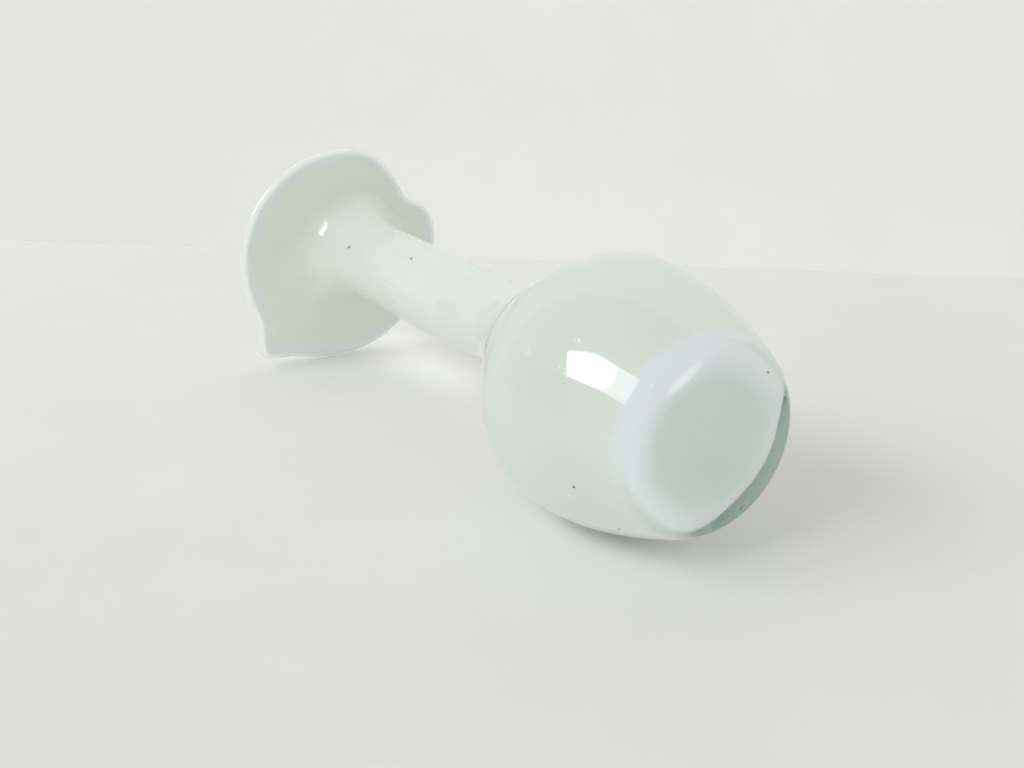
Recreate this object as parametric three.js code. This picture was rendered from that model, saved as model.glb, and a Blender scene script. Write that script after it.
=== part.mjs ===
import * as THREE from "three";

// Hand-blown trumpet bud vase of cased glass, standing on its foot. Millimetres, +Z up the axis.

// Overall form
const height = 210;
const bellyRadius = 34.5;
const bellyHeight = 41;
const waistRadius = 12;
const waistHeight = 99;
const waistShift = 1.7; // the waist sits off the axis, along X
const waistSpread = 16; // how far up and down the neck the shift fades
const neckRadius = 13;
const neckRise = 24; // from the waist to the full width of the neck
const neckStraight = 23.5; // from the full width of the neck to where the trumpet starts to open
const flareSharpness = 6; // how late and tight the neck turns out into the trumpet
const mouthRadius = 38.2;

// Foot
const footFlatRadius = 15.3;
const footBevelRadius = 24.4;
const footBevelHeight = 1.9;
const footCurve = 1.6; // how late the bevel turns up
const lowerFullness = 1.75; // how full the body is between foot and belly
const shoulderSkew = 0.86; // how early the shoulder falls away from the belly

// Glass layers
const casingWall = 1.8; // clear glass over the neck and the trumpet
const heelWall = 6; // clear glass round the lower body
const thinHeight = 66; // where the thick clear glass has run out
const clearBase = 4; // clear glass under the opal
const opalWall = 1.4;
const layerGap = 0.3; // clearance between the two layers
const lipBand = 0.6; // clear glass past the edge of the opal
const bowlCorner = 5; // radius between the floor and the side of the opal
const liningShift = 1.1; // the opal sits off the axis below the waist, along X

// Rim: the mouth sits off the axis, and lobes pull its round edge out or press it in.
// Directions and spreads are in degrees round the axis from +X.
const mouthShift = -4.5; // along X, towards the long tip
const pullGrowth = 1.2; // how late along the trumpet the rim's shape takes over
const rimLobes = [
  { name: "point of the long tip", direction: 179.5, reach: 5.9, spread: 6 },
  { name: "root of the long tip", direction: 171, reach: 2.2, spread: 15 },
  { name: "notch opposite the tip", direction: 6.3, reach: -5.9, spread: 8.5 },
  { name: "far flank of the notch", direction: -11.2, reach: -3.4, spread: 9 },
  { name: "flattened side", direction: 85, reach: -4.7, spread: 43.5 },
];

// Facets
const segments = 52;
const crowding = 0.25; // draws the segments together at the tip and at the notch
const lowerSteps = 8;
const shoulderSteps = 9;
const riseSteps = 3;
const neckSteps = 2;
const flareSteps = 14;
const bandSteps = 2;
const cornerSteps = 4;
const sideSteps = 5;
const bevelSteps = 3;
const lipSteps = 4;
const nudge = 1e-4; // share of a curve over which its direction is taken

const wall = casingWall + layerGap + opalWall;
const lipRadius = wall / 2;
const neckStart = waistHeight + neckRise;
const flareStart = neckStart + neckStraight;
const flareDepth = height - wall - flareStart; // the trumpet takes the rest of the height
const flareReach = mouthRadius - lipRadius - neckRadius;

// Shares of a curve from 0 to 1 in equal steps, without the first few where from says so.
function ramp(steps, from = 0) {
  return Array.from({ length: steps + 1 - from }, (_, i) => (i + from) / steps);
}

// Radius of the outside between the foot bevel and the belly.
function lowerRadius(z) {
  const s = (z - footBevelHeight) / (bellyHeight - footBevelHeight);
  return footBevelRadius + (bellyRadius - footBevelRadius) * (1 - (1 - s) ** lowerFullness);
}

// The outside from the belly to the lip is four curves of radius and height.
function shoulder(s) {
  const fall = (1 + Math.cos(Math.PI * s ** shoulderSkew)) / 2;
  return [waistRadius + (bellyRadius - waistRadius) * fall, bellyHeight + (waistHeight - bellyHeight) * s];
}

function rise(s) {
  const share = (1 - Math.cos(Math.PI * s)) / 2;
  return [waistRadius + (neckRadius - waistRadius) * share, waistHeight + neckRise * s];
}

function straightNeck(s) {
  return [neckRadius, neckStart + (flareStart - neckStart) * s];
}

// A quarter of a superellipse walked by angle, upright at the neck and level at the lip.
function flare(s) {
  const across = Math.cos((s * Math.PI) / 2);
  const along = Math.sin((s * Math.PI) / 2);
  const size = (across ** flareSharpness + along ** flareSharpness) ** (1 / flareSharpness);
  return [neckRadius + flareReach * (1 - across / size), flareStart + (flareDepth * along) / size];
}

// Share of the flare at which a band of this width is left up to the lip.
function flareShare(band) {
  const across = band / flareReach;
  const along = (1 - across ** flareSharpness) ** (1 / flareSharpness);
  return Math.atan2(along, across) / (Math.PI / 2);
}

// A point of a curve with its direction of travel. Pull is the share of the rim's shape that its ring
// takes, and shift is how far the ring lies off the axis.
function station(curve, s) {
  const [r, z] = curve(s);
  const [rBefore, zBefore] = curve(Math.max(s - nudge, 0));
  const [rAfter, zAfter] = curve(Math.min(s + nudge, 1));
  const length = Math.hypot(rAfter - rBefore, zAfter - zBefore);
  const pull = curve === flare ? ((r - neckRadius) / flareReach) ** pullGrowth : 0;
  const lean = Math.exp(-(((z - waistHeight) / waistSpread) ** 2) / 2);
  const shift = waistShift * lean + mouthShift * pull;
  return { r, z, dr: (rAfter - rBefore) / length, dz: (zAfter - zBefore) / length, pull, shift };
}

// The outside up to the flare, along the flare to where the clear band starts, and along the band.
const bandShare = flareShare(lipBand);
const throat = [
  ...ramp(shoulderSteps).map((s) => station(shoulder, s)),
  ...ramp(riseSteps, 1).map((s) => station(rise, s)),
  ...ramp(neckSteps, 1).map((s) => station(straightNeck, s)),
];
const trumpet = ramp(flareSteps, 1).map((s) => station(flare, s * bandShare));
const band = ramp(bandSteps, 1).map((s) => station(flare, bandShare + (1 - bandShare) * s));
// The edge of the opal stands back from the clear band by the clearance.
const opalEdge = station(flare, flareShare(lipBand + layerGap));

// A point set in from the outside by a depth of glass, square to the wall.
function setIn(p, depth) {
  return { r: p.r - p.dz * depth, z: p.z + p.dr * depth, pull: p.pull, shift: p.shift };
}

// Share of the way from the belly to where the thick clear glass has run out, eased at both ends.
function shoulderShare(z) {
  return THREE.MathUtils.smoothstep(z, bellyHeight, thinHeight);
}

// A point of the opal's side, under the clear glass by a little extra. The clear glass is thick up to
// the belly and thins over the shoulder.
function underClear(p, extra) {
  const share = shoulderShare(p.z);
  const clear = heelWall + (casingWall - heelWall) * share;
  return { ...setIn(p, clear + extra), shift: p.shift + liningShift * (1 - share) };
}

// The bowl of the opal below the belly, from the axis outwards: a flat floor, a round corner and a side
// that follows the outside, all under the clear glass by a little extra.
function bowl(extra) {
  const floor = clearBase + extra;
  const corner = bowlCorner - extra;
  const cornerTop = floor + corner;
  const row = (z, cut) => ({ r: lowerRadius(z) - heelWall - extra - cut, z, pull: 0, shift: liningShift });
  return [
    { r: 0, z: floor, pull: 0, shift: liningShift },
    ...ramp(cornerSteps).map((s) => {
      const turn = (s * Math.PI) / 2;
      return row(cornerTop - corner * Math.cos(turn), corner * (1 - Math.sin(turn)));
    }),
    ...ramp(sideSteps, 1)
      .slice(0, -1)
      .map((s) => row(cornerTop + (bellyHeight - cornerTop) * s, 0)),
  ];
}

// Foot and lower body, from the axis outwards and up to the belly.
function lowerOutside() {
  const rows = [{ r: 0, z: 0, pull: 0, shift: 0 }];
  for (const s of ramp(bevelSteps)) {
    const r = footFlatRadius + (footBevelRadius - footFlatRadius) * s;
    rows.push({ r, z: footBevelHeight * s ** footCurve, pull: 0, shift: 0 });
  }
  for (const s of ramp(lowerSteps, 1).slice(0, -1)) {
    const z = footBevelHeight + (bellyHeight - footBevelHeight) * s;
    rows.push({ r: lowerRadius(z), z, pull: 0, shift: 0 });
  }
  return rows;
}

// Half-round edge of the lip, from the outside round to the mouth.
function lip() {
  const end = band.at(-1);
  return ramp(lipSteps, 1)
    .slice(0, -1)
    .map((s) => ({
      r: end.r + lipRadius * Math.sin(s * Math.PI),
      z: end.z + lipRadius * (1 - Math.cos(s * Math.PI)),
      pull: end.pull,
      shift: end.shift,
    }));
}

function casingRows() {
  const mouth = [trumpet.at(-1), ...band].map((p) => setIn(p, wall));
  const inner = [...throat, ...trumpet].map((p) => underClear(p, 0));
  return [
    ...lowerOutside(),
    ...throat,
    ...trumpet,
    ...band,
    ...lip(),
    ...mouth.reverse(),
    ...inner.reverse(),
    ...bowl(0).reverse(),
  ];
}

function liningRows() {
  const far = layerGap + opalWall;
  const run = [...throat, ...trumpet.slice(0, -1), opalEdge];
  return [
    ...bowl(layerGap),
    ...run.map((p) => underClear(p, layerGap)),
    ...run.map((p) => underClear(p, far)).reverse(),
    ...bowl(far).reverse(),
  ];
}

// How far the lobes move the rim at an angle in degrees.
function rimReach(angle) {
  return rimLobes.reduce((sum, lobe) => {
    const away = THREE.MathUtils.euclideanModulo(angle - lobe.direction + 180, 360) - 180;
    return sum + lobe.reach * Math.exp(-((away / lobe.spread) ** 2) / 2);
  }, 0);
}

// Closed skin over rings of points, from the pole of the first row to the pole of the last.
function blownGlass(rows) {
  const positions = [];
  const rings = rows.map((row, i) => {
    const pole = i === 0 || i === rows.length - 1;
    const ring = [];
    for (let k = 0; k < segments; k++) {
      if (!pole || k === 0) {
        const turn = (k / segments) * Math.PI * 2;
        const angle = turn - crowding * Math.sin(2 * turn);
        const r = pole ? 0 : row.r + row.pull * rimReach(THREE.MathUtils.radToDeg(angle));
        positions.push(r * Math.cos(angle) + row.shift, r * Math.sin(angle), row.z);
      }
      ring.push(positions.length / 3 - 1);
    }
    return ring;
  });
  const index = [];
  for (let i = 0; i < rings.length - 1; i++) {
    for (let k = 0; k < segments; k++) {
      const next = (k + 1) % segments;
      const [a, b] = [rings[i][k], rings[i][next]];
      const [c, d] = [rings[i + 1][k], rings[i + 1][next]];
      if (a !== b) index.push(a, b, c);
      if (c !== d) index.push(b, d, c);
    }
  }
  const geometry = new THREE.BufferGeometry();
  geometry.setAttribute("position", new THREE.Float32BufferAttribute(positions, 3));
  geometry.setIndex(index);
  geometry.computeVertexNormals();
  return geometry;
}

function piece(name, rows, look) {
  const mesh = new THREE.Mesh(blownGlass(rows), new THREE.MeshStandardMaterial(look));
  mesh.name = name;
  return mesh;
}

const vase = new THREE.Group();
vase.name = "trumpet_bud_vase";
vase.add(
  piece("clear_casing", casingRows(), {
    color: 0x9fc4b8,
    roughness: 0.05,
    metalness: 0,
    transparent: true,
    opacity: 0.35,
  }),
  piece("opal_lining", liningRows(), { color: 0xc9d3c6, roughness: 0.3, metalness: 0 }),
);

export default vase;
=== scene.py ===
import math
import bpy
import numpy as np
from mathutils import Matrix, Vector


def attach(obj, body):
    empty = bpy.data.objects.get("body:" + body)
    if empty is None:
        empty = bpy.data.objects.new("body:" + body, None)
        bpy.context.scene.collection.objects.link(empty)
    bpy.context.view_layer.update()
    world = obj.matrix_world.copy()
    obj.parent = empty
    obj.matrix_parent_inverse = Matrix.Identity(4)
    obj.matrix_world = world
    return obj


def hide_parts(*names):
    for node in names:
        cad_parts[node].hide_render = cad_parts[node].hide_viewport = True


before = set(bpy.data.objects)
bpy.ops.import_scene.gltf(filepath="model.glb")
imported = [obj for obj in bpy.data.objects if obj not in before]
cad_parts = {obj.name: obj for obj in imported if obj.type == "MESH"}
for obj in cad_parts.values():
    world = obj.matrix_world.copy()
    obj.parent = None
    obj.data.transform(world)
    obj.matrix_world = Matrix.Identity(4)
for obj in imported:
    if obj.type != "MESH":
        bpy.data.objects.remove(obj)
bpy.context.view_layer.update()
scene = bpy.context.scene
scene.view_settings.view_transform = "Standard"
mm = 0.001  # sizes below are in millimetres, the scene is in metres
print("frame loaded", sorted(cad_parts))

# Form of the vase: the outside is that of the solids, and the two glasses share the wall as the eye sees them
form = {
    "height": 210,
    "bellyRadius": 34.5,
    "bellyHeight": 41,
    "waistRadius": 12,
    "waistHeight": 99,
    "waistShift": 1.7,  # the waist leans off the axis along X
    "waistSpread": 16,
    "neckRadius": 13,
    "neckRise": 24,  # from the waist to the full width of the neck
    "neckStraight": 23.5,
    "flareSharpness": 6,  # how late and tight the neck turns out into the trumpet
    "mouthRadius": 38.2,
    "footFlatRadius": 15.3,
    "footBevelRadius": 24.4,
    "footBevelHeight": 1.9,
    "footCurve": 1.6,
    "lowerFullness": 1.75,
    "shoulderSkew": 0.86,
    "casingWall": 1.4,  # clear glass over the neck and the trumpet
    "heelWall": 6.0,  # clear glass round the lower body
    "opalWall": 2.1,
    "clearBase": 4.0,
    "thinHeight": 66,  # where the thick clear glass has run out
    "bowlCorner": 5.0,  # radius between the floor and the side of the opal
    "liningShift": 1.1,  # the opal sits off the axis below the waist, along X
    "lipClear": 0.6,  # clear glass over the opal at the lip
    "lipSpread": 4.0,  # width of the edge over which the clear glass thins to that
    "mouthShift": -4.5,
    "pullGrowth": 1.2,
    # lobes: direction in degrees from +X, reach in mm, spread in degrees
    "rimLobes": [(179.5, 5.9, 6), (171, 2.2, 15), (6.3, -5.9, 8.5), (-11.2, -3.4, 9), (85, -4.7, 43.5)],
    "heelLobes": [(27, 2.0, 10), (140, 2.6, 17)],  # where the opal bulges into the clear glass
    "creaseRounding": 2.4,  # length of profile over which a crease is rounded
    "profileStep": 0.25,  # between points of the outside, before rows are chosen from them
    "bowlStep": 0.1,
    "crowding": 0.25,  # draws the segments together at the tip and the notch
}
lipWall = form["casingWall"] + form["opalWall"]
lipRadius = lipWall / 2
neckStart = form["waistHeight"] + form["neckRise"]
flareStart = neckStart + form["neckStraight"]
flareDepth = form["height"] - lipWall - flareStart
flareReach = form["mouthRadius"] - lipRadius - form["neckRadius"]
farFromLip = 999  # mm, stands for any place below the trumpet


# sRGB hex to linear RGBA
def hexColour(text):
    srgb = np.array([int(text[i:i + 2], 16) / 255 for i in (1, 3, 5)])
    linear = np.where(srgb <= 0.04045, srgb / 12.92, ((srgb + 0.055) / 1.055) ** 2.4)
    return (*linear.tolist(), 1.0)


# Adds one node with its settings and links: inputs are values or the sockets that feed them
def addNode(tree, kind, inputs=None, **settings):
    node = tree.nodes.new(kind)
    for name, value in settings.items():
        setattr(node, name, value)
    for key, value in (inputs or {}).items():
        if isinstance(value, bpy.types.NodeSocket):
            tree.links.new(value, node.inputs[key])
        else:
            node.inputs[key].default_value = value
    return node


# An empty material and its node tree
def newMaterial(name):
    material = bpy.data.materials.new(name)
    material.use_nodes = True
    material.node_tree.nodes.clear()
    return material, material.node_tree


# A new object from points in metres and faces, linked to the scene
def newObject(name, points, faces, smooth):
    mesh = bpy.data.meshes.new(name)
    mesh.from_pydata(points, [], faces)
    mesh.polygons.foreach_set("use_smooth", np.full(len(mesh.polygons), smooth))
    mesh.update()
    piece = bpy.data.objects.new(name, mesh)
    scene.collection.objects.link(piece)
    return piece


# Eased share: s * s * (3 - 2 s), held at its ends outside 0 to 1
def eased(s):
    s = np.clip(s, 0, 1)
    return s * s * (3 - 2 * s)


# Radius of the lower body at a height: the foot bevel's plus a share 1 - (1 - s)^fullness of the way to
# the belly's
def lowerRadius(z):
    s = (z - form["footBevelHeight"]) / (form["bellyHeight"] - form["footBevelHeight"])
    full = 1 - (1 - np.clip(s, 0, 1)) ** form["lowerFullness"]
    return form["footBevelRadius"] + (form["bellyRadius"] - form["footBevelRadius"]) * full


# Outside from the belly to the lip: a skewed cosine for the shoulder, a half cosine up to the neck,
# a straight neck and, for the trumpet, a quarter of a superellipse walked by angle
def upperOutside(points=500):
    s = np.arange(points) / points
    fall = (1 + np.cos(np.pi * s ** form["shoulderSkew"])) / 2
    shoulder = np.stack([form["waistRadius"] + (form["bellyRadius"] - form["waistRadius"]) * fall,
                         form["bellyHeight"] + (form["waistHeight"] - form["bellyHeight"]) * s])
    widen = (form["neckRadius"] - form["waistRadius"]) * (1 - np.cos(np.pi * s)) / 2
    rise = np.stack([form["waistRadius"] + widen, form["waistHeight"] + form["neckRise"] * s])
    neck = np.stack([form["neckRadius"] + 0 * s, neckStart + form["neckStraight"] * s])
    turn = np.append(s, 1) * np.pi / 2
    power = form["flareSharpness"]
    size = (np.cos(turn) ** power + np.sin(turn) ** power) ** (1 / power)
    flare = np.stack([form["neckRadius"] + flareReach * (1 - np.cos(turn) / size),
                      flareStart + flareDepth * np.sin(turn) / size])
    return evenly(np.concatenate([shoulder, rise, neck, flare], axis=1), form["profileStep"])


# Foot and lower body from the axis to the belly: a flat disc, a bevel rising as a power, and the lower curve
def lowerOutside(points=400):
    s = np.linspace(0, 1, points)
    part = s[:-1]
    flat = np.stack([form["footFlatRadius"] * part, 0 * part])
    bevel = np.stack([form["footFlatRadius"] + (form["footBevelRadius"] - form["footFlatRadius"]) * part,
                      form["footBevelHeight"] * part ** form["footCurve"]])
    z = form["footBevelHeight"] + (form["bellyHeight"] - form["footBevelHeight"]) * s
    return evenly(np.concatenate([flat, bevel, np.stack([lowerRadius(z), z])], axis=1), form["profileStep"])


# A polyline of radius and height walked at even steps
def evenly(line, step):
    length = np.append(0, np.cumsum(np.hypot(*np.diff(line, axis=1))))
    at = np.linspace(0, length[-1], int(length[-1] / step) + 1)
    return np.stack([np.interp(at, length, line[0]), np.interp(at, length, line[1])])


# Rounds creases: a running mean with a raised cosine window, mirrored across the axis at the start
def roundCreases(line, step, width):
    half = int(width / step)
    window = np.hanning(2 * half + 1)
    window /= window.sum()
    mirror = line[:, half:0:-1] * np.array([[-1], [1]])
    ahead = 2 * line[:, -1:] - line[:, -2:-half - 2:-1]
    padded = np.concatenate([mirror, line, ahead], axis=1)
    return np.stack([np.convolve(row, window, "valid") for row in padded])


# Keeps a number of rows, closer together where the line turns: spacing by length plus a weight times the turn
def thinRows(line, count, turnWeight=9.0):
    along = np.gradient(line, axis=1)
    heading = np.unwrap(np.arctan2(along[1], along[0]))
    weight = np.hypot(*along) + turnWeight * np.abs(np.gradient(heading))
    total = np.append(0, np.cumsum((weight[1:] + weight[:-1]) / 2))
    at = np.interp(np.linspace(0, total[-1], count), total, np.arange(line.shape[1]))
    return np.stack([np.interp(at, np.arange(line.shape[1]), row) for row in line])


# A line set in by a depth of glass, square to the wall
def setIn(line, depth):
    along = np.gradient(line, axis=1)
    along /= np.hypot(*along)
    return np.stack([line[0] - along[1] * depth, line[1] + along[0] * depth])


# Share of the way from the belly to where the thick clear glass has run out, eased at both ends
def shoulderShare(z):
    return eased((z - form["bellyHeight"]) / (form["thinHeight"] - form["bellyHeight"]))


# Width of trumpet left up to the lip, very wide below the trumpet
def widthToLip(outside):
    return np.where(outside[1] > flareStart, form["neckRadius"] + flareReach - outside[0], farFromLip)


# Clear glass over the side of the opal: thick round the lower body, thin from the waist up
def sideDepth(outside):
    return form["heelWall"] + (form["casingWall"] - form["heelWall"]) * shoulderShare(outside[1])


# The same with the clear glass thinnest at the lip
def clearDepth(outside):
    depth = sideDepth(outside)
    return depth + (form["lipClear"] - depth) * eased(1 - widthToLip(outside) / form["lipSpread"])


# Bowl of the opal under the belly from the axis outwards: a flat floor, a quarter-round corner and the
# outside set in; extra is how far inside the outer face of the opal it lies
def bowl(extra, count, points=900):
    floor, corner = form["clearBase"] + extra, form["bowlCorner"] - extra
    z = floor + np.linspace(0, 1, points) ** 2 * (form["bellyHeight"] - floor)
    h = np.clip(z - floor, 0, corner)
    r = lowerRadius(z) - form["heelWall"] - extra - corner + np.sqrt(corner ** 2 - (corner - h) ** 2)
    line = np.stack([np.append(0, r), np.append(floor, z)])
    return thinRows(evenly(line, form["bowlStep"]), count)


# How far lobes move a ring at each angle: a sum of bell curves
def lobeReach(lobes, angles):
    direction, reach, spread = np.array(lobes).T
    away = (np.degrees(angles)[:, None] - direction + 180) % 360 - 180
    return (reach * np.exp(-(away / spread) ** 2 / 2)).sum(axis=1)


# Share of the heel's lobes that the rings of a bowl take, rising from the axis to the edge of its floor
def floorSwell(line):
    return np.clip(line[0] / form["footFlatRadius"], 0, 1)


# Share of the rim's shape and sideways shift of a ring, from the outside that it belongs to;
# lining is the share of the opal's own shift
def pullAndShift(outside, lining=0.0):
    onFlare = outside[1] > flareStart
    share = np.clip((outside[0] - form["neckRadius"]) / flareReach, 0, None)
    pull = np.where(onFlare, share ** form["pullGrowth"], 0)
    lean = np.exp(-((outside[1] - form["waistHeight"]) / form["waistSpread"]) ** 2 / 2)
    shift = form["waistShift"] * lean + form["mouthShift"] * pull
    return pull, shift + lining * form["liningShift"] * (1 - shoulderShare(outside[1]))


# Closed skin over rings from pole to pole: x = R cos + shift and y = R sin, where R is the radius moved by
# a share of the rim's lobes and a share of the heel's; toLip is kept as an attribute
def blownSkin(name, line, pull, shift, swell, segments, toLip=None):
    turn = np.arange(segments) / segments * 2 * np.pi
    angles = turn - form["crowding"] * np.sin(2 * turn)
    radius = line[0][:, None] + pull[:, None] * lobeReach(form["rimLobes"], angles)
    radius += swell[:, None] * lobeReach(form["heelLobes"], angles)
    radius[[0, -1]] = 0
    grid = np.stack([radius * np.cos(angles) + shift[:, None], radius * np.sin(angles),
                     np.repeat(line[1][:, None], segments, axis=1)], axis=-1)
    rows = len(line[0])
    points = np.concatenate([grid[0, :1], grid[1:-1].reshape(-1, 3), grid[-1, :1]]) * mm
    ring = 1 + np.arange((rows - 2) * segments).reshape(rows - 2, segments)
    nextRing = np.roll(ring, -1, axis=1)
    quads = np.stack([ring[:-1], nextRing[:-1], nextRing[1:], ring[1:]], axis=-1).reshape(-1, 4)
    first = np.stack([np.zeros(segments, int), nextRing[0], ring[0]], axis=-1)
    last = np.stack([ring[-1], nextRing[-1], np.full(segments, len(points) - 1)], axis=-1)
    piece = newObject(name, points.tolist(), first.tolist() + quads.tolist() + last.tolist(), True)
    if toLip is not None:
        values = np.concatenate([toLip[:1], np.repeat(toLip[1:-1], segments), toLip[-1:]])
        kept = piece.data.attributes.new("toLip", "FLOAT", "POINT")
        kept.data.foreach_set("value", values.astype(np.float32))
    return piece


# Outside of the whole vase with creases rounded, then split at the belly
lower = lowerOutside()
upper = upperOutside()
bellyAt = lower.shape[1]
outside = np.concatenate([lower, upper[:, 1:]], axis=1)
outside = roundCreases(outside, form["profileStep"], form["creaseRounding"])
outside[1] -= outside[1].min()
upperLine = outside[:, bellyAt - 1:]

casingForm = {
    "rows": 170,
    "innerRows": 120,
    "floorRows": 60,
    "lipRows": 14,
    "segments": 256,
    "overlap": 0.8,  # how deep the casing reaches into the opal
    "lipDive": 0.9,  # width over which it gets there
}


# Clear casing: the outside, a half-round lip over to the mouth, and back down a little way inside the opal
def makeCasing():
    rows = thinRows(outside, casingForm["rows"])
    rowPull, rowShift = pullAndShift(rows)
    end = rows[:, -1]
    arc = np.linspace(0, np.pi, casingForm["lipRows"] + 1)[1:]
    lip = np.stack([end[0] + lipRadius * np.sin(arc), end[1] + lipRadius * (1 - np.cos(arc))])
    lipPull, lipShift = np.full(lip.shape[1], rowPull[-1]), np.full(lip.shape[1], rowShift[-1])
    # inner face: full wall at the lip, then inside the opal
    innerOutside = thinRows(upperLine, casingForm["innerRows"])
    depth = clearDepth(innerOutside) + casingForm["overlap"]
    depth += (lipWall - depth) * eased(1 - widthToLip(innerOutside) / casingForm["lipDive"])
    inner = setIn(innerOutside, depth)[:, ::-1]
    innerPull, innerShift = pullAndShift(innerOutside, 1.0)
    innerSwell = 1 - shoulderShare(innerOutside[1])
    floor = bowl(casingForm["overlap"], casingForm["floorRows"])[:, ::-1][:, 1:]
    none = np.zeros(floor.shape[1])
    line = np.concatenate([rows, lip, inner[:, 1:], floor], axis=1)
    pull = np.concatenate([rowPull, lipPull, innerPull[::-1][1:], none])
    shift = np.concatenate([rowShift, lipShift, innerShift[::-1][1:], none + form["liningShift"]])
    swell = np.concatenate([np.zeros(rows.shape[1] + lip.shape[1]), innerSwell[::-1][1:], floorSwell(floor)])
    return blownSkin("clear_aqua_casing", line, pull, shift, swell, casingForm["segments"])


opalForm = {
    "rows": 130,
    "bowlRows": 60,
    "edgeRows": 10,
    "segments": 192,
    "setBack": 0.5,  # of its edge from the lip
}


# Opal lining: its outer bowl and side, a round edge short of the lip, and its inner side and bowl back down
def makeOpal():
    base = thinRows(upperLine[:, widthToLip(upperLine) > opalForm["setBack"]], opalForm["rows"])
    pull, shift = pullAndShift(base, 1.0)
    outer = setIn(base, clearDepth(base))
    inner = setIn(base, sideDepth(base) + form["opalWall"])
    arc = np.linspace(0, np.pi, opalForm["edgeRows"] + 2)[1:-1]
    middle, half = (outer[:, -1] + inner[:, -1]) / 2, (outer[:, -1] - inner[:, -1]) / 2
    ahead = np.array([-half[1], half[0]])
    edge = middle[:, None] + half[:, None] * np.cos(arc) + ahead[:, None] * np.sin(arc)
    outerBowl = bowl(0.0, opalForm["bowlRows"])[:, :-1]
    innerBowl = bowl(form["opalWall"], opalForm["bowlRows"])[:, :-1]
    none, ends = np.zeros(opalForm["bowlRows"] - 1), np.ones(opalForm["edgeRows"])
    off, far = none + form["liningShift"], none + farFromLip
    side, width = 1 - shoulderShare(base[1]), widthToLip(base)
    line = np.concatenate([outerBowl, outer, edge, inner[:, ::-1], innerBowl[:, ::-1]], axis=1)
    pulls = np.concatenate([none, pull, ends * pull[-1], pull[::-1], none])
    shifts = np.concatenate([off, shift, ends * shift[-1], shift[::-1], off])
    swell = np.concatenate([floorSwell(outerBowl), side, ends * 0, side[::-1], floorSwell(innerBowl)[::-1]])
    toLip = np.concatenate([far, width, ends * width[-1], width[::-1], far])
    return blownSkin("opal_lining_glass", line, pulls, shifts, swell, opalForm["segments"], toLip)


casing = makeCasing()
opal = makeOpal()
print("blown skins", len(casing.data.polygons), len(opal.data.polygons))

# Clear aqua soda glass, blown and fire-polished: a sharp gloss over a faint green depth that shows
# where the glass is thick, with slow waves in the reflections
clearGlass = {
    "tint": "#fdfefe",
    "depthColour": "#93cfca",
    "density": 12.0,  # per metre
    "ior": 1.5,
    "haze": (0.015, 0.04),  # roughness
    "waveSize": 22.0,  # mm
    "waveHeight": 0.04,  # mm
}


def makeClearGlass():
    look = clearGlass
    material, tree = newMaterial("clear aqua soda glass, fire-polished")
    place = addNode(tree, "ShaderNodeTexCoord").outputs["Object"]
    wave = addNode(tree, "ShaderNodeTexNoise", {
        "Vector": place, "Scale": 1 / (look["waveSize"] * mm), "Detail": 1.0}).outputs["Fac"]
    bump = addNode(tree, "ShaderNodeBump", {"Strength": look["waveHeight"], "Distance": mm, "Height": wave})
    haze = addNode(tree, "ShaderNodeMapRange", {
        "Value": wave, "To Min": look["haze"][0], "To Max": look["haze"][1]})
    glass = addNode(tree, "ShaderNodeBsdfPrincipled", {
        "Base Color": hexColour(look["tint"]), "Roughness": haze.outputs["Result"],
        "Transmission Weight": 1.0, "IOR": look["ior"], "Normal": bump.outputs["Normal"]})
    depth = addNode(tree, "ShaderNodeVolumeAbsorption", {
        "Color": hexColour(look["depthColour"]), "Density": look["density"]})
    addNode(tree, "ShaderNodeOutputMaterial", {
        "Surface": glass.outputs["BSDF"], "Volume": depth.outputs["Volume"]})
    return material


# Opal glass, blown and fused under the casing: milky and faintly green, whiter where it is thick at the heel
# and the lip, greener and darker on the floor and yellower where the trumpet is blown thin; these zone tints
# are partly the glass's own colour and partly painted light and shade
opalGlass = {
    "floor": "#f2fbf4",
    "heel": "#fbfdfe",
    "milk": "#f9f9f2",
    "neck": "#f8faf3",
    "trumpet": "#f9fcf2",
    "lip": "#fafdf9",
    "floorMiddle": (-0.2, 1.0, 0),  # mm
    "floorEdge": (14.2, 17.6),  # mm from there, where the floor turns into the heel
    "heelFade": (7.2, 9.4),  # mm up, where the heel turns into the body
    "neckFade": (60, 110),
    "trumpetFade": (199, 205),
    "lipWidth": (4.5, 1.8),  # mm from the edge
    "streakPlace": (5.7, -15.6, 4.4),  # mm, painted glow that stands in for the light the foot bends into a streak round the heel
    "streakSize": (7.5, 1.5, 6.0),
    "streakTurn": 11,  # degrees
    "paintedStreakGlow": 0.2,
    "cloudSize": 26.0,  # mm
    "cloudDepth": 0.03,
    "gloss": (0.1, 0.16),  # roughness
    "specular": 0.12,  # low, because the face lies inside glass
    "grainSize": 5.0,  # mm
    "grainHeight": 0.03,  # mm
}


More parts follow.
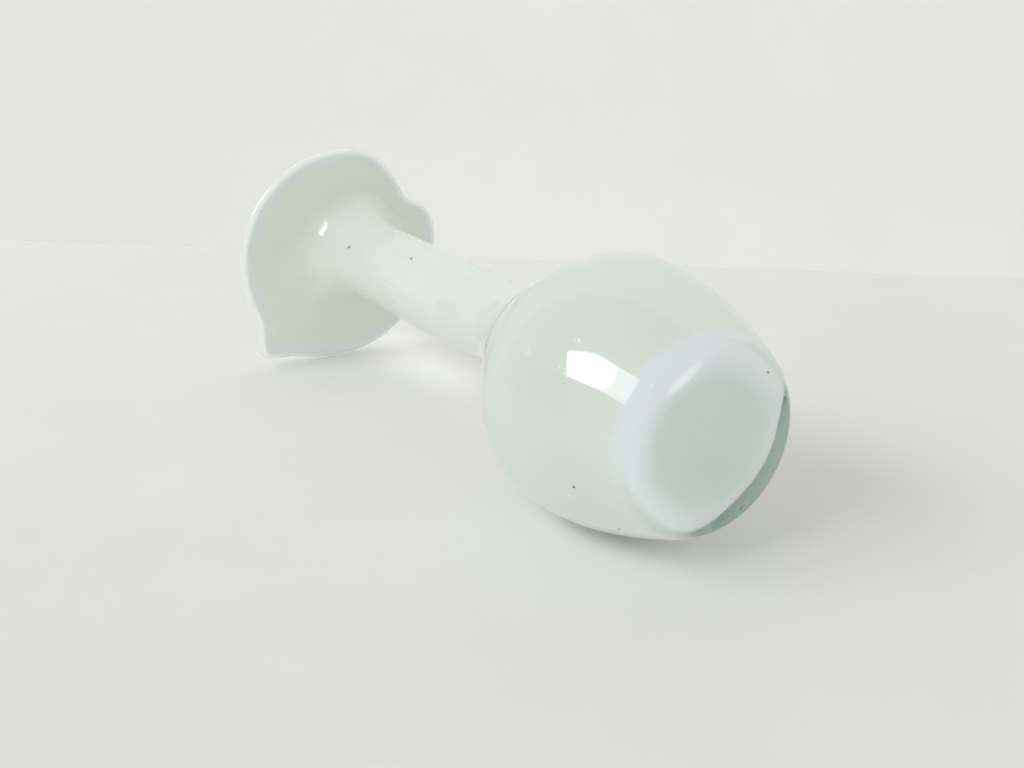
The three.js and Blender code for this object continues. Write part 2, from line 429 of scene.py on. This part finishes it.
def makeOpalGlass():
    look = opalGlass
    material, tree = newMaterial("milky opal glass, blown")
    metres = addNode(tree, "ShaderNodeTexCoord").outputs["Object"]
    scaled = addNode(tree, "ShaderNodeVectorMath", {0: metres, "Scale": 1 / mm}, operation="SCALE")
    place = scaled.outputs["Vector"]
    axes = addNode(tree, "ShaderNodeSeparateXYZ", {0: place})
    up = axes.outputs[2]
    flat = addNode(tree, "ShaderNodeCombineXYZ", {0: axes.outputs[0], 1: axes.outputs[1]})
    off = addNode(tree, "ShaderNodeVectorMath", {0: flat.outputs[0], 1: look["floorMiddle"]},
                  operation="DISTANCE")
    edge = addNode(tree, "ShaderNodeAttribute", attribute_name="toLip")
    near = addNode(tree, "ShaderNodeMapping", {
        "Vector": place, "Location": look["streakPlace"], "Scale": look["streakSize"],
        "Rotation": (0, 0, math.radians(look["streakTurn"]))}, vector_type="TEXTURE")
    away = addNode(tree, "ShaderNodeVectorMath", {0: near.outputs[0]}, operation="LENGTH")
    # painted light: the streak glows through the emission, in place of light bent onto the heel by the foot
    streak = addNode(tree, "ShaderNodeMapRange", {
        "Value": away.outputs["Value"], "From Min": 1.0, "From Max": 0.1, "To Max": look["paintedStreakGlow"]},
        interpolation_type="SMOOTHSTEP")
    # each zone takes over from the one before it between two values; the zone tints carry painted light and
    # shade as well as the glass's own tint
    zones = ((off.outputs["Value"], "floorEdge", "heel"), (up, "heelFade", "milk"), (up, "neckFade", "neck"),
             (up, "trumpetFade", "trumpet"), (edge.outputs["Fac"], "lipWidth", "lip"))
    colour = hexColour(look["floor"])
    for value, span, tint in zones:
        share = addNode(tree, "ShaderNodeMapRange", {
            "Value": value, "From Min": look[span][0], "From Max": look[span][1]},
            interpolation_type="SMOOTHSTEP")
        colour = addNode(tree, "ShaderNodeMix", {
            "Factor": share.outputs["Result"], "A": colour, "B": hexColour(look[tint])},
            data_type="RGBA").outputs["Result"]
    cloud = addNode(tree, "ShaderNodeTexNoise", {
        "Vector": place, "Scale": 1 / look["cloudSize"], "Detail": 3.0, "Distortion": 0.6}).outputs["Fac"]
    shade = addNode(tree, "ShaderNodeMapRange", {
        "Value": cloud, "From Min": 0.3, "From Max": 0.7, "To Min": 1 - look["cloudDepth"], "To Max": 1.0})
    milky = addNode(tree, "ShaderNodeMix", {"Factor": 1.0, "A": colour, "B": shade.outputs["Result"]},
                    data_type="RGBA", blend_type="MULTIPLY")
    gloss = addNode(tree, "ShaderNodeMapRange", {
        "Value": cloud, "To Min": look["gloss"][0], "To Max": look["gloss"][1]})
    grain = addNode(tree, "ShaderNodeTexNoise", {
        "Vector": place, "Scale": 1 / look["grainSize"], "Detail": 2.0})
    bump = addNode(tree, "ShaderNodeBump", {
        "Strength": 0.5, "Distance": look["grainHeight"] * mm, "Height": grain.outputs["Fac"]})
    glass = addNode(tree, "ShaderNodeBsdfPrincipled", {
        "Base Color": milky.outputs["Result"], "Roughness": gloss.outputs["Result"],
        "Specular IOR Level": look["specular"], "Emission Color": (1, 1, 1, 1),
        "Emission Strength": streak.outputs["Result"], "Normal": bump.outputs["Normal"]})
    addNode(tree, "ShaderNodeOutputMaterial", {"Surface": glass.outputs["BSDF"]})
    return material


# Air blown into the clear glass: small round bubbles, each a pale dot of painted light, an emission in place
# of the light of the room that they gather
airLook = {
    "mistSize": 1.0,  # mm
    "haze": (0.05, 0.2),  # roughness
    "paintedGlint": (0.1, 0.5),
}


def makeAir():
    look = airLook
    material, tree = newMaterial("air bubbles in blown glass")
    place = addNode(tree, "ShaderNodeTexCoord").outputs["Object"]
    mist = addNode(tree, "ShaderNodeTexNoise", {
        "Vector": place, "Scale": 1 / (look["mistSize"] * mm), "Detail": 1.0}).outputs["Fac"]
    # painted light: a mottled emission makes each bubble glow
    haze, paintedGlint = (addNode(tree, "ShaderNodeMapRange", {
        "Value": mist, "To Min": look[key][0], "To Max": look[key][1]}).outputs["Result"]
        for key in ("haze", "paintedGlint"))
    air = addNode(tree, "ShaderNodeBsdfPrincipled", {
        "Base Color": (1, 1, 1, 1), "Roughness": haze,
        "Emission Color": (1, 1, 1, 1), "Emission Strength": paintedGlint})
    addNode(tree, "ShaderNodeOutputMaterial", {"Surface": air.outputs["BSDF"]})
    return material


# Specks of ash and unmelted batch caught in the clear glass: dull and grey-green, each a little different
speckLook = {
    "dark": "#46524a",
    "pale": "#77857b",
    "roughness": 0.7,
    "mottleSize": 0.4,  # mm
    "grainHeight": 0.1,  # mm
}


def makeSpeck():
    look = speckLook
    material, tree = newMaterial("batch specks in blown glass")
    place = addNode(tree, "ShaderNodeTexCoord").outputs["Object"]
    mottle = addNode(tree, "ShaderNodeTexNoise", {
        "Vector": place, "Scale": 1 / (look["mottleSize"] * mm), "Detail": 2.0}).outputs["Fac"]
    colour = addNode(tree, "ShaderNodeMix", {
        "Factor": mottle, "A": hexColour(look["dark"]), "B": hexColour(look["pale"])}, data_type="RGBA")
    bump = addNode(tree, "ShaderNodeBump", {
        "Strength": 0.5, "Distance": look["grainHeight"] * mm, "Height": mottle})
    speck = addNode(tree, "ShaderNodeBsdfPrincipled", {
        "Base Color": colour.outputs["Result"], "Roughness": look["roughness"],
        "Normal": bump.outputs["Normal"]})
    addNode(tree, "ShaderNodeOutputMaterial", {"Surface": speck.outputs["BSDF"]})
    return material


# Seeds in the clear glass: height up the outside in mm, direction in degrees, length along the vase and
# width in mm
seedForm = {
    "specks": [(184.1, -105.4, 1.0, 0.9), (144.5, -77.1, 1.1, 0.6), (15.0, -157.4, 0.9, 0.7),
               (0.9, 3.0, 0.5, 0.7), (11.0, 172.0, 0.9, 0.6), (1.2, 105.1, 0.4, 1.6)],
    "bubbles": [(82.3, -104.7, 1.0, 0.7), (83.4, -106.5, 0.6, 0.4), (32.7, -105.5, 0.6, 0.5),
                (32.1, -106.6, 0.5, 0.4), (33.2, -106.7, 0.4, 0.4), (21.9, -91.2, 0.6, 0.5),
                (21.2, -92.0, 0.4, 0.4), (22.6, -92.3, 0.5, 0.4), (22.3, -105.5, 0.6, 0.5),
                (20.3, -106.8, 0.5, 0.4), (1.4, -91.0, 0.4, 0.6), (161.5, -122.0, 0.9, 0.6)],
    "scattered": 14,  # more bubbles round the rest of the body and the neck
    "scatter": [(8, 150), (0, 200), (0.5, 0.9), (0.4, 0.6)],  # from and to, in the order above
    "chance": 11,
    "depth": 0.75,  # mm under the outside
    "footLift": 0.05,  # mm up, past which each height is one place on the outside
    "rows": 10,
    "turns": 16,
}


# Many small ellipsoids as one skin: each is a round of rings from pole to pole, scaled along the glass
# and set in it
def makeSeeds(name, spots, material):
    z, direction, long, wide = np.array(spots).T
    under = setIn(outside, seedForm["depth"])
    shift = pullAndShift(outside)[1]
    rising = outside[1] > seedForm["footLift"]
    radius, up, off = (np.interp(z, outside[1][rising], row[rising]) for row in (under[0], under[1], shift))
    angle = np.radians(direction)
    outward = np.stack([np.cos(angle), np.sin(angle), 0 * angle], axis=-1)
    around = np.stack([-np.sin(angle), np.cos(angle), 0 * angle], axis=-1)
    middle = outward * radius[:, None] + np.stack([off, 0 * off, up], axis=-1)
    v = np.linspace(0, np.pi, seedForm["rows"] + 2)[1:-1, None]
    u = np.arange(seedForm["turns"]) / seedForm["turns"] * 2 * np.pi
    ball = np.stack([np.sin(v) * np.cos(u), np.sin(v) * np.sin(u), np.cos(v) + 0 * u], axis=-1).reshape(-1, 3)
    ball = np.concatenate([[[0, 0, 1]], ball, [[0, 0, -1]]]) / 2
    thick = np.minimum(long, wide)
    points = (middle[:, None] + ball[None, :, :1] * thick[:, None, None] * outward[:, None]
              + ball[None, :, 1:2] * wide[:, None, None] * around[:, None]
              + ball[None, :, 2:] * long[:, None, None] * np.array([0, 0, 1.0]))
    ring = 1 + np.arange(seedForm["rows"] * seedForm["turns"]).reshape(seedForm["rows"], -1)
    nextRing = np.roll(ring, -1, axis=1)
    quads = np.stack([ring[:-1], ring[1:], nextRing[1:], nextRing[:-1]], axis=-1).reshape(-1, 4)
    first = np.stack([0 * ring[0], ring[0], nextRing[0]], axis=-1)
    last = np.stack([ring[-1], 0 * ring[0] + len(ball) - 1, nextRing[-1]], axis=-1)
    start = (np.arange(len(z)) * len(ball))[:, None, None]
    faces = [face for part in (first, quads, last)
             for face in (part[None] + start).reshape(-1, part.shape[1]).tolist()]
    piece = newObject(name, (points.reshape(-1, 3) * mm).tolist(), faces, True)
    piece.data.materials.append(material)
    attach(piece, "root")


chance = np.random.default_rng(seedForm["chance"])
scattered = np.stack([chance.uniform(*span, seedForm["scattered"]) for span in seedForm["scatter"]], axis=-1)
makeSeeds("air_bubbles", seedForm["bubbles"] + scattered.tolist(), makeAir())
makeSeeds("batch_specks", seedForm["specks"], makeSpeck())

casing.data.materials.append(makeClearGlass())
opal.data.materials.append(makeOpalGlass())
for piece, node, slot in ((casing, "clear_casing", "clear_aqua_glass"), (opal, "opal_lining", "opal_glass")):
    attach(piece, "root")
    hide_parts(node)
print("glass made")

# Camera of the picture, in the frame of the vase
cameraForm = {
    "location": (-44.58, -200.19, -213.85),
    "forward": (0.09104, 0.56512, 0.81997),
    "up": (0.77506, -0.55722, 0.29798),
    "lens": 45.77,
    "sensor": 36,
    "clip": (0.01, 100),  # metres
}


# Camera at its place, turned so that it looks along forward with up upwards
def makeCamera():
    data = bpy.data.cameras.new("camera")
    data.lens, data.sensor_width = cameraForm["lens"], cameraForm["sensor"]
    data.clip_start, data.clip_end = cameraForm["clip"]
    camera = bpy.data.objects.new("camera", data)
    scene.collection.objects.link(camera)
    back = -Vector(cameraForm["forward"]).normalized()
    right = Vector(cameraForm["up"]).cross(back).normalized()
    turn = Matrix((right, back.cross(right), back)).transposed().to_4x4()
    camera.matrix_world = Matrix.Translation(Vector(cameraForm["location"]) * mm) @ turn
    scene.camera = camera


makeCamera()

# The vase lies on its belly and on the flat flank of the rim, so the table leans in its frame
tableForm = {
    "direction": 133.75,  # degrees from +X, where the table lies
    "tilt": 1.67,  # degrees, towards the mouth
    "shown": "#d3d3d0",  # to the eye, in mirrors and through glass
    "bounce": "#eeeeea",  # what lights the underside of the vase
    "reach": 1600,  # mm to each side
    "wallAhead": 598,  # mm from under the camera to the wall
    "wallTurn": 14.6,  # degrees
    "wallShown": "#dbdbd9",
    "wallHeight": 700,
    "wallPaintedShade": [(-330, 60, 420, "#d2d2d0")],  # painted shade that evens out the brighter left of the wall: mm along and up the wall, reach in mm, colour
    "mottleSize": 45.0,  # mm, faint unevenness of the boards
    "mottle": (0.97, 1.03),
    # soft painted light and shade on the table, a painted shadow in the gap under the belly and a painted
    # pool of light where light passes the neck: middle and reach in mm, colour
    "paintedLightAndShade": [((-26, 22.5, 42), (16, 16, 36), "#8e8e8b"), ((-14, 40.5, 190), (26, 26, 66), "#e8e8e5")],
}
downAngle, tiltAngle = math.radians(tableForm["direction"]), math.radians(tableForm["tilt"])
tableUp = -Vector((math.cos(downAngle) * math.cos(tiltAngle), math.sin(downAngle) * math.cos(tiltAngle),
                   -math.sin(tiltAngle)))
viewFlat = Vector(cameraForm["forward"])
viewFlat = (viewFlat - tableUp * viewFlat.dot(tableUp)).normalized()
viewRight = viewFlat.cross(tableUp)
points = np.zeros(len(casing.data.vertices) * 3)
casing.data.vertices.foreach_get("co", points)
tableLevel = (points.reshape(-1, 3) @ np.array(tableUp)).min()


# Matt board, lightly mottled and seen from its front only, with soft patches of painted light and shade on
# the colour the eye sees; rays from matt glass meet a paler board, so the room stays bright
def boardMaterial(name, shown, bounce, paintedLightAndShade):
    material, tree = newMaterial(name)
    path = addNode(tree, "ShaderNodeLightPath")
    side = addNode(tree, "ShaderNodeNewGeometry")
    lit = addNode(tree, "ShaderNodeMath", {0: path.outputs["Diffuse Depth"], 1: 0.5},
                  operation="GREATER_THAN")
    place = addNode(tree, "ShaderNodeTexCoord").outputs["Object"]
    mottle = addNode(tree, "ShaderNodeTexNoise", {
        "Vector": place, "Scale": 1 / (tableForm["mottleSize"] * mm), "Detail": 4.0})
    paper = addNode(tree, "ShaderNodeMapRange", {
        "Value": mottle.outputs["Fac"], "To Min": tableForm["mottle"][0], "To Max": tableForm["mottle"][1]})
    seen = addNode(tree, "ShaderNodeMix", {
        "Factor": 1.0, "A": hexColour(shown), "B": paper.outputs["Result"]},
        data_type="RGBA", blend_type="MULTIPLY")
    # painted light and shade: each patch is a soft spot blended into the colour the eye sees
    for middle, reach, tint in paintedLightAndShade:
        near = addNode(tree, "ShaderNodeMapping", {
            "Vector": place, "Location": Vector(middle) * mm, "Scale": Vector(reach) * mm},
            vector_type="TEXTURE")
        away = addNode(tree, "ShaderNodeVectorMath", {0: near.outputs[0]}, operation="LENGTH")
        share = addNode(tree, "ShaderNodeMapRange", {
            "Value": away.outputs["Value"], "From Min": 1.0, "From Max": 0.0},
            interpolation_type="SMOOTHSTEP")
        seen = addNode(tree, "ShaderNodeMix", {
            "Factor": share.outputs["Result"], "A": seen.outputs["Result"], "B": hexColour(tint)},
            data_type="RGBA")
    colour = addNode(tree, "ShaderNodeMix", {
        "Factor": lit.outputs[0], "A": seen.outputs["Result"], "B": hexColour(bounce)}, data_type="RGBA")
    paint = addNode(tree, "ShaderNodeBsdfDiffuse", {"Color": colour.outputs["Result"]})
    clear = addNode(tree, "ShaderNodeBsdfTransparent")
    both = addNode(tree, "ShaderNodeMixShader", {
        0: side.outputs["Backfacing"], 1: paint.outputs["BSDF"], 2: clear.outputs["BSDF"]})
    addNode(tree, "ShaderNodeOutputMaterial", {"Surface": both.outputs["Shader"]})
    return material


# A flat board from its middle, two half edges and the way it faces
def makeBoard(name, middle, halfWide, halfLong, facing, material):
    corners = [middle - halfWide - halfLong, middle + halfWide - halfLong,
               middle + halfWide + halfLong, middle - halfWide + halfLong]
    board = newObject(name, corners, [(0, 1, 2, 3)], False)
    if board.data.polygons[0].normal.dot(facing) < 0:
        board.data.flip_normals()
    board.data.materials.append(material)


# Foot of the wall straight ahead, and the ways into and along the wall
wallFoot = Vector(cameraForm["location"]) * mm
wallFoot += tableUp * (tableLevel - wallFoot.dot(tableUp)) + viewFlat * tableForm["wallAhead"] * mm
wallAngle = math.radians(tableForm["wallTurn"])
wallIn = viewFlat * math.cos(wallAngle) + viewRight * math.sin(wallAngle)
wallSide = wallIn.cross(tableUp)


# A place on the wall, from mm along it and up it
def onWall(along, up):
    return wallFoot + (wallSide * along + tableUp * up) * mm


# Table under the vase up to the foot of the wall, and the wall on it
def makeStage():
    reach, rise = tableForm["reach"] * mm, tableForm["wallHeight"] * mm
    # painted shade on the wall, placed by mm along and up it
    wallPaintedShade = [(onWall(along, up) / mm, (size, size, size), tint)
                 for along, up, size, tint in tableForm["wallPaintedShade"]]
    bounce = tableForm["bounce"]
    makeBoard("table", wallFoot - wallIn * reach, wallSide * reach, wallIn * reach, tableUp,
              boardMaterial("matt white table board", tableForm["shown"], bounce, tableForm["paintedLightAndShade"]))
    makeBoard("wall", wallFoot + tableUp * rise / 2, wallSide * reach, tableUp * rise / 2, -wallIn,
              boardMaterial("matt white wall board", tableForm["wallShown"], bounce, wallPaintedShade))


makeStage()


# Direction from the vase by azimuth from the line of sight (right is positive) and height over the table,
# both in degrees
def towards(azimuth, elevation):
    a, e = math.radians(azimuth), math.radians(elevation)
    level = viewFlat * math.cos(a) + viewRight * math.sin(a)
    return level * math.cos(e) + tableUp * math.sin(e)


lampForm = {
    # azimuth, elevation, distance mm, width deg, height deg, radiance, colour, whether it casts shadows
    "window light": (-115, 37.5, 3600, 46, 25, 4.4, "#fbfdff", True),
    "overhead": (-120, 80, 2000, 60, 60, 0.24, "#ffffff", False),
    "room beyond": (70, 30, 2000, 60, 60, 0.33, "#ffffff", False),
    "light from the table": (-170, -35, 2000, 60, 60, 0.28, "#ffffff", False),
}
vaseMiddle = Vector((0, 0, form["height"] / 2 * mm))


# Lamp facing the vase: each side is 2 distance tan(angle / 2), and the power is radiance times pi times
# the area
def makeLamp(name, azimuth, elevation, distance, width, height, radiance, colour, shadow):
    data = bpy.data.lights.new(name, "AREA")
    data.shape = "RECTANGLE"
    data.size = 2 * distance * mm * math.tan(math.radians(width / 2))
    data.size_y = 2 * distance * mm * math.tan(math.radians(height / 2))
    data.energy = radiance * math.pi * data.size * data.size_y
    data.color = hexColour(colour)[:3]
    data.use_shadow = data.cycles.use_multiple_importance_sampling = shadow
    lamp = bpy.data.objects.new(name, data)
    scene.collection.objects.link(lamp)
    out = towards(azimuth, elevation)
    right = tableUp.cross(out).normalized()
    turn = Matrix((right, out.cross(right), out)).transposed().to_4x4()
    lamp.matrix_world = Matrix.Translation(vaseMiddle + out * distance * mm) @ turn
    lamp.visible_camera = lamp.visible_glossy = False


for lampName, values in lampForm.items():
    makeLamp(lampName, *values)

# Panes of the window, met only by mirrored rays: radiance, colour and corners by azimuth and elevation
# from the lower body
paneForm = {
    "bright_panes": (9.0, "#fdfdff", [(-88.5, 38.8), (-95.8, 48.6), (-106, 50.1), (-110.8, 38.7),
                                      (-109.4, 27.5), (-97, 24.3)]),
    "hazy_panes": (5.0, "#f0f5ff", [(-106, 50.1), (-122, 51.5), (-122, 26), (-109.4, 27.5), (-110.8, 38.7)]),
}
paneFrom = Vector((-4, -30, 18)) * mm
paneAway = 2.4  # metres
# Cool daylight over the top of the low wall, met only by mirrored rays
daylightForm = {
    "radiance": 0.95,
    "colour": "#eaeefb",
    # mm along and up the wall
    "corners": [(-950, 2), (-640, 2), (-592, 56), (-537, 117), (-395, 202), (-225, 207), (-143, 183),
                (-95, 155), (-31, 107), (60, 60), (150, 2), (1600, 2), (1600, 700), (-950, 700)],
    "fade": (-60, 260),  # mm along the wall, where it turns into the light of the wall itself
    "faded": "#e8e9e5",
}
skyHaze = {"scale": 3.0, "range": (0.8, 1.2)}  # slow unevenness of the light in every pane


# A glowing pane from its corners, a little uneven; fade is where along the wall it turns into a plain glow
def makePane(name, radiance, colour, corners, fade=None, faded=None):
    material, tree = newMaterial("day sky behind a window")
    place = addNode(tree, "ShaderNodeTexCoord").outputs["Object"]
    haze = addNode(tree, "ShaderNodeTexNoise", {"Vector": place, "Scale": skyHaze["scale"]})
    dimmest, brightest = (radiance * share for share in skyHaze["range"])
    strength = addNode(tree, "ShaderNodeMapRange", {
        "Value": haze.outputs["Fac"], "To Min": dimmest, "To Max": brightest})
    glow = addNode(tree, "ShaderNodeEmission", {
        "Color": hexColour(colour), "Strength": strength.outputs["Result"]})
    if fade:
        start, end = (wallFoot.dot(wallSide) + along * mm for along in fade)
        along = addNode(tree, "ShaderNodeVectorMath", {0: place, 1: wallSide}, operation="DOT_PRODUCT")
        share = addNode(tree, "ShaderNodeMapRange", {
            "Value": along.outputs["Value"], "From Min": start, "From Max": end},
            interpolation_type="SMOOTHSTEP")
        plain = addNode(tree, "ShaderNodeEmission", {"Color": hexColour(faded), "Strength": 1.0})
        glow = addNode(tree, "ShaderNodeMixShader", {
            0: share.outputs["Result"], 1: glow.outputs[0], 2: plain.outputs[0]})
    addNode(tree, "ShaderNodeOutputMaterial", {"Surface": glow.outputs[0]})
    material.cycles.emission_sampling = "NONE"
    pane = newObject(name, corners, [tuple(range(len(corners)))], False)
    pane.data.materials.append(material)
    pane.visible_camera = pane.visible_diffuse = pane.visible_transmission = False
    pane.visible_shadow = pane.visible_volume_scatter = False


for paneName, (radiance, colour, corners) in paneForm.items():
    makePane(paneName, radiance, colour, [paneFrom + towards(*corner) * paneAway for corner in corners])
makePane("daylight_over_the_wall", daylightForm["radiance"], daylightForm["colour"],
         [onWall(*corner) - wallIn * mm for corner in daylightForm["corners"]],
         daylightForm["fade"], daylightForm["faded"])

worldForm = {"light": 0.68, "shown": "#e4e4e2", "mirrored": "#b0b2b1"}


# Pale room: one light for matt glass, one colour for the eye and through glass, a dimmer one in mirrors
def makeWorld():
    world = bpy.data.worlds.new("pale room")
    world.use_nodes = True
    tree = world.node_tree
    tree.nodes.clear()
    path = addNode(tree, "ShaderNodeLightPath").outputs
    room = addNode(tree, "ShaderNodeBackground", {"Color": (1, 1, 1, 1), "Strength": worldForm["light"]})
    pale, dim = (addNode(tree, "ShaderNodeBackground", {"Color": hexColour(worldForm[key]), "Strength": 1.0})
                 for key in ("shown", "mirrored"))
    mirrored = addNode(tree, "ShaderNodeMath", {0: path["Is Glossy Ray"], 1: path["Is Transmission Ray"]},
                       operation="SUBTRACT")
    seen = addNode(tree, "ShaderNodeMixShader", {
        0: mirrored.outputs[0], 1: pale.outputs[0], 2: dim.outputs[0]})
    lit = addNode(tree, "ShaderNodeMath", {0: path["Diffuse Depth"], 1: 0.5}, operation="LESS_THAN")
    mixed = addNode(tree, "ShaderNodeMixShader", {0: lit.outputs[0], 1: room.outputs[0], 2: seen.outputs[0]})
    addNode(tree, "ShaderNodeOutputWorld", {"Surface": mixed.outputs[0]})
    scene.world = world


makeWorld()
print("stage and light")
